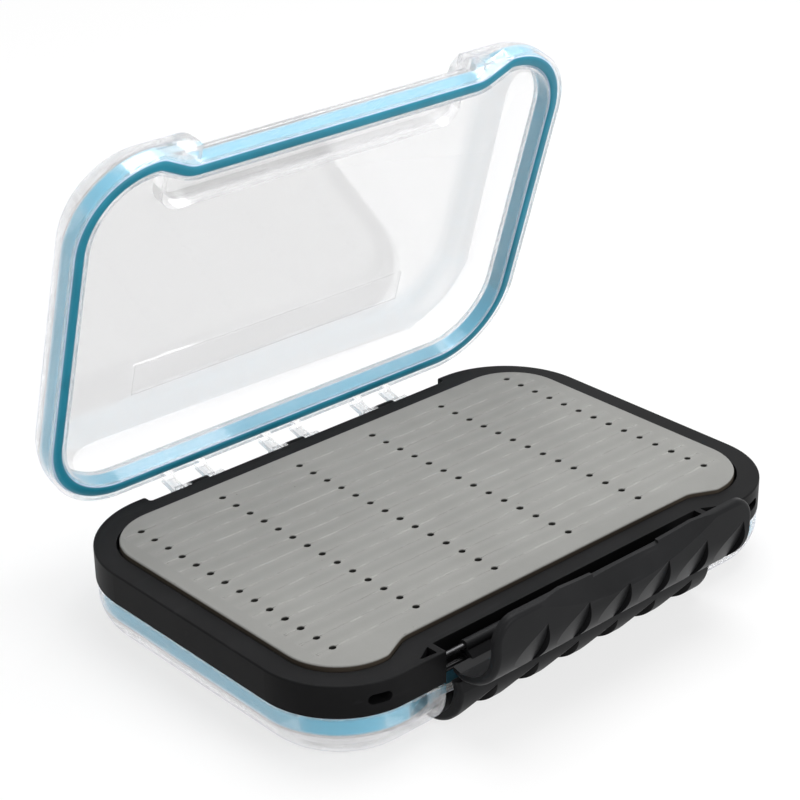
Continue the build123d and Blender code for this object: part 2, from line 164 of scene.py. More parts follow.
class Book:
    """Node tree of one material or of the surround."""

    def __init__(self, owner: Union[bpy.types.Material, bpy.types.World]) -> None:
        """Empties the node tree of its owner.

        Args:
            owner: the material or world whose tree is written.
        """
        self.owner = owner
        owner.use_nodes = True
        self.tree = owner.node_tree
        self.tree.nodes.clear()

    @classmethod
    def of_material(cls, name: str) -> "Book":
        """Starts a new material of that name."""
        return cls(bpy.data.materials.new(name))

    def node(
        self,
        kind: str,
        settings: dict[str, Any] | None = None,
        inputs: dict[Any, Any] | None = None,
    ) -> bpy.types.Node:
        """Adds a node.

        Args:
            kind: the node's type.
            settings: attributes of the node, which are set first.
            inputs: socket name or number to a value, a field or a socket.

        Returns:
            The new node.
        """
        made = self.tree.nodes.new(kind)
        for key, value in (settings or {}).items():
            setattr(made, key, value)
        for key, value in (inputs or {}).items():
            socket = made.inputs[key]
            if isinstance(value, Field):
                value = value.socket
            if isinstance(value, bpy.types.NodeSocket):
                self.tree.links.new(value, socket)
            else:
                socket.default_value = value
        return made

    def field(
        self,
        kind: str,
        settings: dict[str, Any] | None = None,
        inputs: dict[Any, Any] | None = None,
        output: Union[int, str] = 0,
    ) -> Field:
        """A node's output as a field.

        Args:
            kind: the node's type.
            settings: as for node.
            inputs: as for node.
            output: name or number of the output socket.

        Returns:
            The field.
        """
        return Field(self, self.node(kind, settings, inputs).outputs[output])

    def place(self) -> Field:
        """Object coordinates, which are metres in the part's own frame."""
        return self.field("ShaderNodeTexCoord", output="Object")

    def axis(self, letter: str) -> Field:
        """One coordinate of the place: X, Y or Z."""
        return self.field("ShaderNodeSeparateXYZ", inputs={0: self.place()}, output=letter)

    def stretched(self, scale: Sequence[float]) -> Field:
        """The place, scaled along each axis."""
        return self.field("ShaderNodeMapping", inputs={"Vector": self.place(), "Scale": scale})

    def grain(
        self,
        scale: float,
        detail: float = 3.0,
        rough: float = 0.55,
        stretch: Sequence[float] = (1, 1, 1),
    ) -> Field:
        """Noise from 0 to 1.

        Args:
            scale: features per metre.
            detail: octaves.
            rough: how strong the fine octaves are.
            stretch: scale of each axis.

        Returns:
            The noise value.
        """
        inputs = {"Vector": self.stretched(stretch), "Scale": scale, "Detail": detail, "Roughness": rough}
        return self.field("ShaderNodeTexNoise", {"noise_dimensions": "3D"}, inputs)

    def cells(self, scale: float, stretch: Sequence[float] | None = None) -> Field:
        """Distance to the nearest point of a scatter.

        Args:
            scale: points per metre.
            stretch: scale of each axis, where the scatter isn't even.

        Returns:
            The distance, in parts of the mean spacing.
        """
        place = self.stretched(stretch) if stretch else self.place()
        inputs = {"Vector": place, "Scale": scale}
        return self.field("ShaderNodeTexVoronoi", {"feature": "F1"}, inputs, "Distance")

    def ray(self, *kinds: str) -> Field:
        """1 where the ray is of one of these kinds, else 0.

        Args:
            kinds: outputs of the Light Path node.

        Returns:
            The mask.
        """
        path = self.node("ShaderNodeLightPath")
        mask = Field(self, path.outputs[kinds[0]])
        for kind in kinds[1:]:
            mask = mask.math("MAXIMUM", Field(self, path.outputs[kind]))
        return mask

    def mix(self, mask: Any, low: Any, high: Any) -> Field:
        """Colour between low and high.

        Args:
            mask: 0 gives low and 1 gives high.
            low: a colour or a field.
            high: a colour or a field.

        Returns:
            The mixed colour.
        """
        settings = {"data_type": "RGBA", "clamp_factor": True}
        return self.field("ShaderNodeMix", settings, {0: mask, 6: low, 7: high}, 2)

    def shaded(self, cloud: Field, colour: Rgb, shades: Span) -> Field:
        """Colour that clouds between two shades of itself.

        Args:
            cloud: noise that chooses the shade.
            colour: the linear colour.
            shades: factors of the darker and the lighter shade.

        Returns:
            The colour.
        """
        return self.mix(cloud.ramp(*SWING), rgb(colour, shades[0]), rgb(colour, shades[1]))

    def bump(
        self,
        height: Field,
        distance: float,
        strength: float = 1.0,
        under: Field | None = None,
    ) -> Field:
        """Bumped normal.

        Args:
            height: the height, 0 to 1.
            distance: what a height of 1 is, in metres.
            strength: how much of it shows.
            under: another bump beneath it.

        Returns:
            The normal.
        """
        inputs: dict[Any, Any] = {"Height": height, "Distance": distance, "Strength": strength}
        if under is not None:
            inputs["Normal"] = under
        return self.field("ShaderNodeBump", inputs=inputs)

    def principled(self, inputs: dict[str, Any]) -> bpy.types.Node:
        """The main surface shader with these inputs."""
        return self.node("ShaderNodeBsdfPrincipled", inputs=inputs)

    def blend(self, mask: Field, low: bpy.types.Node, high: bpy.types.Node) -> bpy.types.Node:
        """Shader between two others: the first where the mask is 0."""
        return self.node("ShaderNodeMixShader", inputs={0: mask, 1: low.outputs[0], 2: high.outputs[0]})

    def finish(self, shader: bpy.types.Node) -> Any:
        """Joins the shader to the output.

        Args:
            shader: the last shader node.

        Returns:
            The material or world.
        """
        kind = "World" if isinstance(self.owner, bpy.types.World) else "Material"
        self.node(f"ShaderNodeOutput{kind}", inputs={"Surface": shader.outputs[0]})
        return self.owner


def rgb(colour: Rgb, shade: float = 1.0) -> Rgba:
    """A linear colour times a shade, with full alpha."""
    r, g, b = (part * shade for part in colour)
    return (r, g, b, 1.0)


# Finishes


@dataclass(frozen=True)
class Mark:
    """Colour of a mark and how much of it shows."""

    colour: Rgb
    share: float

    def over(self, tone: Field, mask: Field) -> Field:
        """The tone with the mark laid over it where the mask is 1."""
        return tone.book.mix(mask * self.share, tone, rgb(self.colour))


@dataclass(frozen=True)
class Spots:
    """Small marks that gather in patches, with scales in features per metre."""

    scale: float
    edge: Span
    patch_scale: float
    patch_edge: Span
    stretch: Point3 | None = None

    def mask(self, book: Book) -> Field:
        """1 on the marks and 0 between them."""
        found = book.cells(self.scale, self.stretch).ramp(*self.edge)
        return found * book.grain(self.patch_scale).ramp(*self.patch_edge)


@dataclass(frozen=True)
class MouldedPlastic:
    """Charcoal injection-moulded plastic with a fine spark-eroded grain."""

    name: str
    colour: Rgb
    roughness: float
    specular: float
    scuff: float = 0.35
    ior: float = 1.5
    shades: Span = (0.82, 1.20)
    cloud_scale: float = 38.0
    cloud_height: float = 0.02 * MM
    cloud_strength: float = 0.35
    cloud_roughness: float = 0.12
    grain_size: float = 0.22 * MM
    grain_height: float = 0.006 * MM
    grain_strength: float = 0.8
    scratch_scale: float = 260.0
    scratch_stretch: Point3 = (0.08, 1.0, 1.0)
    scratch_edge: Span = (0.62, 0.74)
    scratch_mark: Mark = Mark((0.10, 0.10, 0.105), 0.12)
    scratch_roughness: float = 0.10
    dust: Spots = Spots(1500.0, (0.10, 0.03), 55.0, (0.5, 0.72))
    dust_mark: Mark = Mark((0.22, 0.21, 0.20), 0.22)
    dust_roughness: float = 0.2

    def material(self) -> bpy.types.Material:
        """Builds the node tree.

        Returns:
            The material.
        """
        book = Book.of_material(self.name)
        cloud = book.grain(self.cloud_scale)
        fine = book.grain(1 / self.grain_size, detail=2.0)
        streak = book.grain(self.scratch_scale, rough=0.6, stretch=self.scratch_stretch)
        dust = self.dust.mask(book)
        scratch = streak.ramp(*self.scratch_edge) * self.scuff
        tone = book.shaded(cloud, self.colour, self.shades)
        tone = self.scratch_mark.over(tone, scratch)
        tone = self.dust_mark.over(tone, dust)
        rough = cloud * self.cloud_roughness + (self.roughness - self.cloud_roughness / 2)
        rough = rough + scratch * self.scratch_roughness + dust * self.dust_roughness
        soft = book.bump(cloud, self.cloud_height, self.cloud_strength)
        inputs = {
            "Base Color": tone,
            "Roughness": rough,
            "Normal": book.bump(fine, self.grain_height, self.grain_strength, soft),
            "IOR": self.ior,
            "Specular IOR Level": self.specular,
        }
        return book.finish(book.principled(inputs))


@dataclass(frozen=True)
class ClearPlastic:
    """Polished clear plastic: painted violet shade where it is seen along its wall, standing in for the
    refraction at its thick rims, with faint hairlines.
    """

    name: str
    clear: Rgb = (0.992, 0.993, 1.0)
    # Painted shade: the dark violet at grazing angles stands in for the refraction at the thick rims
    edge: Rgb = (0.40, 0.41, 0.58)
    thin_clear: Rgb = (0.996, 0.996, 1.0)
    # The same painted shade on the see-through share
    thin_edge_shade: Rgb = (0.62, 0.63, 0.78)
    facing_blend: float = 0.32
    edge_shade_facing: Span = (0.60, 1.0)
    veil: float = 0.46
    veil_loss: float = 0.45
    hair_scale: float = 900.0
    hair_stretch: Point3 = (0.03, 1.0, 1.0)
    hair_edge: Span = (0.66, 0.74)
    hair_roughness: float = 0.05
    smudge_scale: float = 30.0
    smudge_edge: Span = (0.45, 0.8)
    smudge_roughness: float = 0.02
    polish: float = 0.012
    flow_scale: float = 22.0
    flow_height: float = 0.05 * MM
    flow_strength: float = 0.25
    ior: float = 1.45
    specular: float = 0.24

    def material(self) -> bpy.types.Material:
        """Builds the node tree.

        Returns:
            The material.
        """
        book = Book.of_material(self.name)
        facing = book.field("ShaderNodeLayerWeight", inputs={"Blend": self.facing_blend}, output="Facing")
        # Mask of the painted shade: 1 where the wall is seen edge-on
        along = facing.ramp(*self.edge_shade_facing)
        hair = book.grain(self.hair_scale, detail=2.0, rough=0.6, stretch=self.hair_stretch)
        hair = hair.ramp(*self.hair_edge) * self.hair_roughness
        smudge = book.grain(self.smudge_scale).ramp(*self.smudge_edge) * self.smudge_roughness
        flow = book.grain(self.flow_scale, detail=2.0)
        inputs = {
            "Base Color": book.mix(along, rgb(self.clear), rgb(self.edge)),
            "Roughness": hair + smudge + self.polish,
            "Normal": book.bump(flow, self.flow_height, self.flow_strength),
            "IOR": self.ior,
            "Specular IOR Level": self.specular,
            "Transmission Weight": 1.0,
        }
        solid = book.principled(inputs)
        # The see-through share carries the same painted shade
        thin = book.mix(along, rgb(self.thin_clear), rgb(self.thin_edge_shade))
        through = book.node("ShaderNodeBsdfTransparent", inputs={"Color": thin})
        share = (1 - along * self.veil_loss) * self.veil
        return book.finish(book.blend(share, solid, through))


@dataclass(frozen=True)
class Silicone:
    """Blue-green silicone: deep on its crown, paler in painted light where it lies on the clear wall, with
    a painted highlight line between.
    """

    name: str
    origin: Point3
    normal: Point3
    crown_level: float = 5.2 * MM
    deep: Rgb = (0.010, 0.205, 0.300)
    shades: Span = (0.88, 1.12)
    # Painted light: the paler blue where the gasket is seen through the clear wall
    pale: Rgb = (0.15, 0.46, 0.62)
    painted_light_depth: Span = (0.7 * MM, 1.2 * MM)
    # Painted highlight: a pale violet line along the gasket, between the pale band and the crown
    painted_rim: Mark = Mark((0.62, 0.70, 0.86), 0.75)
    painted_highlight_start: Span = (0.40 * MM, 0.60 * MM)
    painted_highlight_end: Span = (1.05 * MM, 0.85 * MM)
    lint: Spots = Spots(1100.0, (0.09, 0.03), 60.0, (0.52, 0.7))
    lint_mark: Mark = Mark((0.5, 0.6, 0.62), 0.4)
    lint_roughness: float = 0.2
    roughness: float = 0.36
    cloud_scale: float = 70.0
    cloud_height: float = 0.05 * MM
    cloud_strength: float = 0.4
    cloud_roughness: float = 0.10
    grain_scale: float = 1500.0
    grain_height: float = 0.008 * MM
    grain_strength: float = 0.6
    ior: float = 1.41

    def material(self) -> bpy.types.Material:
        """Builds the node tree.

        Returns:
            The material.
        """
        book = Book.of_material(self.name)
        inputs: dict[Any, Any] = {0: book.place(), 1: self.normal}
        level = book.field("ShaderNodeVectorMath", {"operation": "DOT_PRODUCT"}, inputs, "Value")
        base = sum(a * b for a, b in zip(self.origin, self.normal))
        depth = level - (base + self.crown_level)
        cloud = book.grain(self.cloud_scale)
        lint = self.lint.mask(book)
        deep = book.shaded(cloud, self.deep, self.shades)
        # Painted light: paler below the crown, where the clear wall covers the gasket
        tone = book.mix(depth.ramp(*self.painted_light_depth), deep, rgb(self.pale))
        # Painted highlight line at a set depth below the crown
        tone = self.painted_rim.over(tone, depth.ramp(*self.painted_highlight_start) * depth.ramp(*self.painted_highlight_end))
        tone = self.lint_mark.over(tone, lint)
        soft = book.bump(cloud, self.cloud_height, self.cloud_strength)
        fine = book.grain(self.grain_scale, detail=2.0)
        inputs = {
            "Base Color": tone,
            "Roughness": cloud * self.cloud_roughness + self.roughness + lint * self.lint_roughness,
            "Normal": book.bump(fine, self.grain_height, self.grain_strength, soft),
            "IOR": self.ior,
        }
        return book.finish(book.principled(inputs))


@dataclass(frozen=True)
class FoamSkin:
    """Closed-cell grey foam: closed slits with painted highlight on their lips, holes and slit walls in
    painted shade, nicks, and a cut side in brown painted shade.
    """

    name: str
    surface: float
    row_pitch: float = ROW_PITCH
    slit_half: float = SLIT_HALF
    grid_back: float = 45.0 * MM
    grid_fade: float = 1.0 * MM
    skin: Rgb = (0.240, 0.240, 0.230)
    shades: Span = (0.95, 1.06)
    roughness: float = 0.9
    specular: float = 0.18
    wander_scale: float = 70.0
    wander: float = 1.3 * MM
    lip_scale: float = 105.0
    lip_stretch: Point3 = (1.0, 0.7, 1.0)
    lip_edge: Span = (0.40, 0.66)
    lip_reach: Span = (0.62 * MM, 0.10 * MM)
    # Painted highlight: the paler colour on the raised lips of the slits
    lip_painted_highlight: Mark = Mark((0.43, 0.43, 0.405), 0.42)
    dent_reach: Span = (2.8 * MM, 0.9 * MM)
    dent_mark: Mark = Mark((0.345, 0.345, 0.325), 0.12)
    cloud_scale: float = 24.0
    cell_scale: float = 2300.0
    cell_edge: Span = (0.1, 0.7)
    cell_mark: Mark = Mark((0.215, 0.214, 0.198), 0.14)
    fleck: Spots = Spots(300.0, (0.085, 0.035), 85.0, (0.55, 0.68))
    fleck_mark: Mark = Mark((0.090, 0.088, 0.080), 0.7)
    nick: Spots = Spots(210.0, (0.06, 0.02), 60.0, (0.57, 0.66), (0.35, 1.0, 1.0))
    nick_mark: Mark = Mark((0.050, 0.048, 0.042), 0.8)
    # Painted shade: near-black on the walls of the slits and holes, below the surface
    hollow_shade_depth: Span = (0.03 * MM, 0.45 * MM)
    hollow_shade: Rgb = (0.022, 0.022, 0.020)
    # Painted shade: dark brown on the pad's cut side and rounded edge, outside the slit grid
    side_shade_depth: Span = (0.12 * MM, 0.60 * MM)
    painted_rim: Rgb = (0.050, 0.040, 0.030)
    relief: float = 0.07 * MM
    relief_strength: float = 0.8
    cell_relief: float = 0.35
    cloud_relief: float = 0.4
    lip_relief: float = 1.5
    fleck_relief: float = 0.8
    swell_scale: float = 60.0
    swell_height: float = 0.40 * MM
    swell_strength: float = 0.4

    def material(self) -> bpy.types.Material:
        """Builds the node tree.

        Returns:
            The material.
        """
        book = Book.of_material(self.name)
        across = abs(book.axis("X")).ramp(self.slit_half + self.grid_fade, self.slit_half)
        along = abs(book.axis("Y")).ramp(self.grid_back + self.grid_fade, self.grid_back)
        inside = across * along
        wander = (book.grain(self.wander_scale, detail=2.0) - 0.5) * self.wander
        row = (book.axis("Y") + wander) / self.row_pitch
        away = abs(row.fract() - 0.5) * self.row_pitch
        broken = book.grain(self.lip_scale, detail=4.0, rough=0.65, stretch=self.lip_stretch)
        lip = away.ramp(*self.lip_reach) * inside * broken.ramp(*self.lip_edge)
        dent = away.ramp(*self.dent_reach) * inside
        cloud = book.grain(self.cloud_scale, detail=4.0, rough=0.6)
        cell = book.cells(self.cell_scale)
        fleck = self.fleck.mask(book)
        nick = self.nick.mask(book)
        tone = book.shaded(cloud, self.skin, self.shades)
        tone = self.cell_mark.over(tone, cell.ramp(*self.cell_edge))
        tone = self.dent_mark.over(tone, dent)
        # Painted highlight along the lips of the slits
        tone = self.lip_painted_highlight.over(tone, lip)
        tone = self.fleck_mark.over(tone, fleck)
        tone = self.nick_mark.over(tone, nick)
        under = self.surface - abs(book.axis("Z") - MIDDLE)
        # Painted shade inside the slits and holes
        tone = book.mix(under.ramp(*self.hollow_shade_depth) * inside, tone, rgb(self.hollow_shade))
        # Painted shade on the pad's side
        tone = book.mix(under.ramp(*self.side_shade_depth) * (1 - inside), tone, rgb(self.painted_rim))
        height = cell * self.cell_relief + cloud * self.cloud_relief + lip * self.lip_relief
        height = height - fleck * self.fleck_relief - nick
        swell = book.bump(book.grain(self.swell_scale), self.swell_height, self.swell_strength)
        inputs = {
            "Base Color": tone,
            "Roughness": self.roughness,
            "Normal": book.bump(height, self.relief, self.relief_strength, swell),
            "Specular IOR Level": self.specular,
        }
        return book.finish(book.principled(inputs))


@dataclass(frozen=True)
class BlackenedSteel:
    """Blackened wire with drawing marks along it, worn a little where it is handled."""

    name: str
    dark: Rgb = (0.045, 0.045, 0.047)
    light: Rgb = (0.070, 0.070, 0.072)
    metallic: float = 0.9
    roughness: float = 0.20
    cloud_scale: float = 150.0
    worn_scale: float = 420.0
    worn_edge: Span = (0.60, 0.75)
    worn_mark: Mark = Mark((0.30, 0.30, 0.31), 0.5)
    draw_scale: float = 3000.0
    draw_stretch: Point3 = (0.02, 1.0, 1.0)
    draw_roughness: float = 0.12
    draw_height: float = 0.004 * MM
    draw_strength: float = 0.6

    def material(self) -> bpy.types.Material:
        """Builds the node tree.

        Returns:
            The material.
        """
        book = Book.of_material(self.name)
        drawn = book.grain(self.draw_scale, detail=2.0, rough=0.6, stretch=self.draw_stretch)
        cloud = book.grain(self.cloud_scale, detail=2.0)
        tone = book.mix(cloud.ramp(*SWING), rgb(self.dark), rgb(self.light))
        tone = self.worn_mark.over(tone, book.grain(self.worn_scale).ramp(*self.worn_edge))
        inputs = {
            "Base Color": tone,
            "Roughness": drawn * self.draw_roughness + self.roughness,
            "Metallic": self.metallic,
            "Normal": book.bump(drawn, self.draw_height, self.draw_strength),
        }
        return book.finish(book.principled(inputs))


@dataclass(frozen=True)
class Adhesive:
    """Milky double-sided adhesive sheet with trapped air."""

    name: str
    dark: Rgb = (0.62, 0.61, 0.56)
    light: Rgb = (0.72, 0.71, 0.67)
    roughness: float = 0.4
    cloud_scale: float = 80.0
    bubble_scale: float = 420.0
    bubble_edge: Span = (0.25, 0.1)
    bubble_mark: Mark = Mark((0.80, 0.80, 0.77), 0.4)
    bubble_roughness: float = 0.15
    bubble_height: float = 0.05 * MM
    bubble_strength: float = 0.6

    def material(self) -> bpy.types.Material:
        """Builds the node tree.

        Returns:
            The material.
        """
        book = Book.of_material(self.name)
        bubble = book.cells(self.bubble_scale).ramp(*self.bubble_edge)
        cloud = book.grain(self.cloud_scale).ramp(*SWING)
        tone = book.mix(cloud, rgb(self.dark), rgb(self.light))
        inputs = {
            "Base Color": self.bubble_mark.over(tone, bubble),
            "Roughness": bubble * self.bubble_roughness + self.roughness,
            "Normal": book.bump(bubble, self.bubble_height, self.bubble_strength),
        }
        return book.finish(book.principled(inputs))


@dataclass(frozen=True)
class PaleFloor:
    """Plain pale floor that shows nearly white and keeps a soft shadow, which fades with distance."""

    name: str
    pale: Rgb = (0.86, 0.86, 0.86)
    roughness: float = 0.5
    whiteness: float = 0.72
    fade: Span = (0.30, 1.10)

    def material(self) -> bpy.types.Material:
        """Builds the node tree.

        Returns:
            The material.
        """
        book = Book.of_material(self.name)
        away = book.field("ShaderNodeVectorMath", {"operation": "LENGTH"}, {0: book.place()}, "Value")
        share = away.ramp(*self.fade) * (1.0 - self.whiteness) + self.whiteness
        inputs = {"Color": rgb(self.pale), "Roughness": self.roughness}
        plain = book.node("ShaderNodeBsdfDiffuse", inputs=inputs)
        white = book.node("ShaderNodeEmission", inputs={"Color": rgb(WHITE), "Strength": 1.0})
        return book.finish(book.blend(book.ray(*WHITE_RAYS) * share, plain, white))


def dress(node: str, material: bpy.types.Material) -> bpy.types.Object:
    """Gives a CAD node its material and reports it.

    Args:
        node: the node's name.
        material: what it is made of.

    Returns:
        The node's object.
    """
    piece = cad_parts[node]
    piece.data.materials.clear()
    piece.data.materials.append(material)
    log.info("dressed %s in %s", node, material.name)
    return piece


# Foam pads


def rounded_loop(corners: Sequence[tuple[float, float, float]], step: float) -> list[Point2]:
    """Samples a closed outline whose corners are rounded.

    Args:
        corners: (x, y, radius) counter-clockwise.
        step: distance between points on straights, in metres.

    Returns:
        The points in order.
    """
    points: list[Point2] = []
    count = len(corners)
    for i, (x, y, radius) in enumerate(corners):
        here = Vector((x, y))
        back = (Vector(corners[i - 1][:2]) - here).normalized()
        ahead = (Vector(corners[(i + 1) % count][:2]) - here).normalized()
        half = back.angle(ahead) / 2
        reach = radius / math.tan(half)
        centre = here + (back + ahead).normalized() * (radius / math.sin(half))
        start = here + back * reach - centre
        turn = math.pi - 2 * half
        sign = 1 if back.x * ahead.y - back.y * ahead.x < 0 else -1
        arcs = max(ARC_FEWEST, int(math.degrees(turn) / ARC_TURN))
        for k in range(arcs + 1):
            a = sign * turn * k / arcs
            c, s = math.cos(a), math.sin(a)
            points.append((centre.x + c * start.x - s * start.y, centre.y + s * start.x + c * start.y))
    return resampled(points, step)


def resampled(points: Sequence[Point2], step: float) -> list[Point2]:
    """Adds points on the long runs of a closed outline.

    Args:
        points: the outline's points in order.
        step: the distance that the runs are cut into, in metres.

    Returns:
        The old and new points in order.
    """
    out: list[Point2] = []
    for i, a in enumerate(points):
        b = points[(i + 1) % len(points)]
        length = math.hypot(b[0] - a[0], b[1] - a[1])
        parts = max(1, int(length / step))
        out += [(a[0] + (b[0] - a[0]) * k / parts, a[1] + (b[1] - a[1]) * k / parts) for k in range(parts)]
    return out


def moved_out(points: Sequence[Point2], distance: float) -> list[Point2]:
    """Moves a closed counter-clockwise outline outwards.

    Args:
        points: the outline's points in order.
        distance: how far they move, in metres; below 0 is inwards.

    Returns:
        The moved points.
    """
    out: list[Point2] = []
    count = len(points)
    for i, p in enumerate(points):
        a, b = points[i - 1], points[(i + 1) % count]
        tx, ty = b[0] - a[0], b[1] - a[1]
        length = math.hypot(tx, ty) or 1.0
        out.append((p[0] + ty / length * distance, p[1] - tx / length * distance))
    return out


@dataclass(frozen=True)
class Waver:
    """Smooth unevenness along the slits."""

    height: float
    per_metre: float
    per_row: float
    seed: float

    def at(self, x: float, row: int) -> float:
        """The unevenness at a place along a row."""
        return self.height * noise.noise(Vector((x * self.per_metre, row * self.per_row, self.seed)))


@dataclass
class FoamPad:
    """Slit-foam pad: a sheet with rounded cut edges, holes, and slits that join them."""

    side: Side
    half_length: float = 84.8 * MM
    back: float = 50.2 * MM
    front_middle: float = 50.7 * MM
    front_ear: float = 54.7 * MM
    ear_start: float = 65.5 * MM
    middle_half: float = 57.0 * MM
    corner: float = 18.0 * MM
    ear_round: float = 3.0 * MM
    middle_round: float = 8.0 * MM
    outline_step: float = 3.0 * MM
    edge_round: float = 0.55 * MM
    edge_steps: int = 4
    columns: int = 6
    rows: int = 14
    column_pitch: float = 29.6 * MM
    row_pitch: float = ROW_PITCH
    hole_radius: float = 1.10 * MM
    hole_berth: float = 1.3
    hole_gap: float = 8.0
    hole_points: int = 8
    hole_flatness: float = 0.93
    hole_size: Waver = Waver(0.10, 90.0, 1.0, 3.0)
    hole_height: Waver = Waver(0.1, 70.0, 1.0, 9.0)
    slit_half: float = SLIT_HALF
    slit_step: float = 1.6 * MM
    slit_width: float = 0.016 * MM
    slit_gape: Waver = Waver(0.6, 300.0, 1.7, 5.0)
    slit_drift: Waver = Waver(0.22 * MM, 160.0, 3.1, 0.0)
    cut_depth: float = 3.2 * MM
    cut_taper: float = 0.002 * MM
    lip: float = 0.09 * MM
    lip_foot: float = 0.70 * MM
    lip_crest: float = 0.25 * MM
    lip_shoulder: float = 0.08 * MM
    lip_fall: float = 0.03 * MM
    lip_mean: float = 0.5
    lip_wave: Waver = Waver(0.8, 130.0, 2.3, 7.0)
    flat_cosine: float = 0.999

    @property
    def node(self) -> str:
        """Name of the pad's CAD node."""
        return f"{self.side.value}_foam_pad"

    def outline(self) -> list[Point2]:
        """Edge of the pad.

        Returns:
            The points, counter-clockwise.
        """
        corners = [
            (self.half_length, self.back, self.corner),
            (-self.half_length, self.back, self.corner),
            (-self.half_length, -self.front_ear, self.corner),
            (-self.ear_start, -self.front_ear, self.ear_round),
            (-self.middle_half, -self.front_middle, self.middle_round),
            (self.middle_half, -self.front_middle, self.middle_round),
            (self.ear_start, -self.front_ear, self.ear_round),
            (self.half_length, -self.front_ear, self.corner),
        ]
        return rounded_loop(corners, self.outline_step)

    def row_seam(self) -> list[tuple[float, bool]]:
        """Places along a row where its outline has points.

        Returns:
            Each place in order, and whether a hole is there.
        """
        holes = [(c - (self.columns - 1) / 2) * self.column_pitch for c in range(self.columns)]
        seam = [(h, True) for h in holes]
        x = -self.slit_half
        while x < self.slit_half:
            if min(abs(h - x) for h in holes) > self.hole_radius * self.hole_berth:
                seam.append((x, False))
            x += self.slit_step
        return sorted(seam)

    def row_loop(self, y: float, row: int) -> list[Point2]:
        """One slit with its holes, as a closed counter-clockwise outline.

        Args:
            y: where the row lies.
            row: its number, which seeds the wander of the knife.

        Returns:
            The points in order.
        """
        first, sweep, last = 180 - self.hole_gap, 180 - 2 * self.hole_gap, self.hole_points - 1
        arc = [math.radians(first - sweep * k / last) for k in range(self.hole_points)]
        lower: list[Point2] = []
        upper: list[Point2] = []
        for x, is_hole in self.row_seam():
            if is_hole:
                size = self.hole_radius * (1 + self.hole_size.at(x, row))
                tall = size * (self.hole_flatness + self.hole_height.at(x, row))
                upper += [(x + size * math.cos(a), y + tall * math.sin(a)) for a in arc]
                lower += [(x + size * math.cos(a), y - tall * math.sin(a)) for a in arc]
            else:
                drift = self.slit_drift.at(x, row)
                wide = self.slit_width * (1 + self.slit_gape.at(x, row))
                upper.append((x, y + drift + wide / 2))
                lower.append((x, y + drift - wide / 2))
        return lower + upper[::-1]

    def build(self) -> bpy.types.Object:
        """Makes the pad's mesh in its place.

        Returns:
            The pad's object.
        """
        low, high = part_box(self.node)
        top = high[2] - low[2] - self.lip
        bm = bmesh.new()
        edge = self.outline()
        r = self.edge_round
        rings = [self._ring(bm, edge, 0.0)]
        for k in range(self.edge_steps + 1):
            a = math.radians(90 * k / self.edge_steps)
            inset = r * (1 - math.cos(a))
            rings.append(self._ring(bm, moved_out(edge, -inset), top - r + r * math.sin(a)))
        self._walls(bm, rings)
        borders = self._edges(bm, rings[-1])
        # Each ring of a slit: how far out of it, how high, and its share of the lip
        levels = [
            (self.lip_foot, top, 0.0),
            (self.lip_crest, top, 1.0),
            (self.lip_shoulder, top, 0.85),
            (0.0, top - self.lip_fall, 0.4),
            (-self.cut_taper, top - self.cut_depth / 2, 0.0),
            (-self.cut_taper * 2, top - self.cut_depth, 0.0),
        ]
        start = -(self.rows - 1) / 2 * self.row_pitch
        for row in range(self.rows):
            loop = self.row_loop(start + row * self.row_pitch, row)
            cuts = [self._lipped(bm, moved_out(loop, out), z, rise, row) for out, z, rise in levels]
            self._walls(bm, cuts)
            borders += self._edges(bm, cuts[0])
            bmesh.ops.triangle_fill(bm, edges=self._edges(bm, cuts[-1]), use_beauty=True)
        bmesh.ops.triangle_fill(bm, edges=borders, use_beauty=True)
        bmesh.ops.triangle_fill(bm, edges=self._edges(bm, rings[0]), use_beauty=True)
        bmesh.ops.recalc_face_normals(bm, faces=bm.faces)
        for f in bm.faces:
            f.smooth = abs(f.normal.z) < self.flat_cosine
        return self._place(bm, low, high)

    @staticmethod
    def _ring(bm: bmesh.types.BMesh, points: Iterable[Point2], z: float) -> list[bmesh.types.BMVert]:
        """Vertices of a closed outline at one height."""
        return [bm.verts.new((x, y, z)) for x, y in points]

    def _lipped(
        self, bm: bmesh.types.BMesh, points: Iterable[Point2], z: float, rise: float, row: int
    ) -> list[bmesh.types.BMVert]:
        """Vertices of a slit's outline, raised in an uneven lip.

        Args:
            bm: the mesh they go into.
            points: the outline.
            z: its height without the lip.
            rise: share of the lip at this ring.
            row: the slit's number, which seeds the unevenness.

        Returns:
            The vertices.
        """
        found = []
        for x, y in points:
            wave = min(1.0, max(0.0, self.lip_mean + self.lip_wave.at(x, row)))
            found.append(bm.verts.new((x, y, z + rise * self.lip * wave)))
        return found

    @staticmethod
    def _walls(bm: bmesh.types.BMesh, rings: Sequence[list[bmesh.types.BMVert]]) -> None:
        """Makes quads between each ring and the next.

        Args:
            bm: the mesh they go into.
            rings: rings of equally many vertices.
        """
        for a, b in zip(rings, rings[1:]):
            count = len(a)
            for i in range(count):
                j = (i + 1) % count
                bm.faces.new((a[i], a[j], b[j], b[i]))

    @staticmethod
    def _edges(bm: bmesh.types.BMesh, ring: list[bmesh.types.BMVert]) -> list[bmesh.types.BMEdge]:
        """Edges of a ring, made where they are missing.

        Args:
            bm: the mesh of the ring.
            ring: its vertices in order.

        Returns:
            The edges in order.
        """
        found = []
        for i, v in enumerate(ring):
            w = ring[(i + 1) % len(ring)]
            found.append(bm.edges.get((v, w)) or bm.edges.new((v, w)))
        return found

